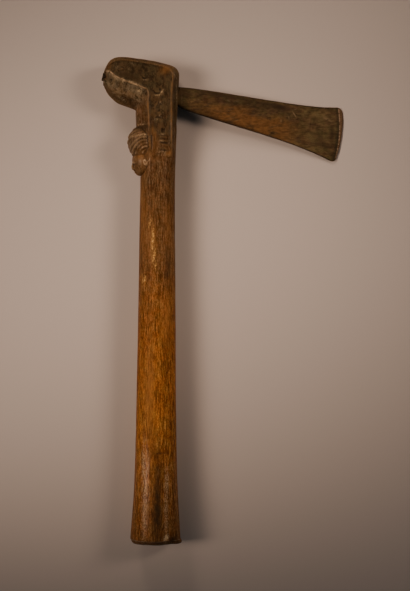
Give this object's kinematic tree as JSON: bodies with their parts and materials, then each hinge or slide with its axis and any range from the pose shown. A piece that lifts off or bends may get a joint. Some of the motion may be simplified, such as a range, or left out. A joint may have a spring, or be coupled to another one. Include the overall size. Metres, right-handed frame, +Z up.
{
  "type": "carved handle axe",
  "caption": "Wooden hand axe lying flat: straight round handle with flared butt, faceted head with sunk panel, side stump and small carved head, and a long flared iron blade through it.",
  "frame": {"origin": "centre of the bounding box's base, on the surface the axe lies on", "axes": "+X across, from the handle to the blade's cutting edge; +Y along the handle from butt to head; +Z up, out of the carved face"},
  "size_m": [0.2094, 0.4154, 0.0398],
  "materials": {
    "handle_wood": "dark oiled hardwood polished by handling, with black patina in the sunk panel and on the stump",
    "blade_iron": "browned, waxed forged iron with a lighter worn cutting edge"
  },
  "bodies": {
    "root": {"handle": "handle_wood", "blade": "blade_iron"}
  },
  "joints": []
}
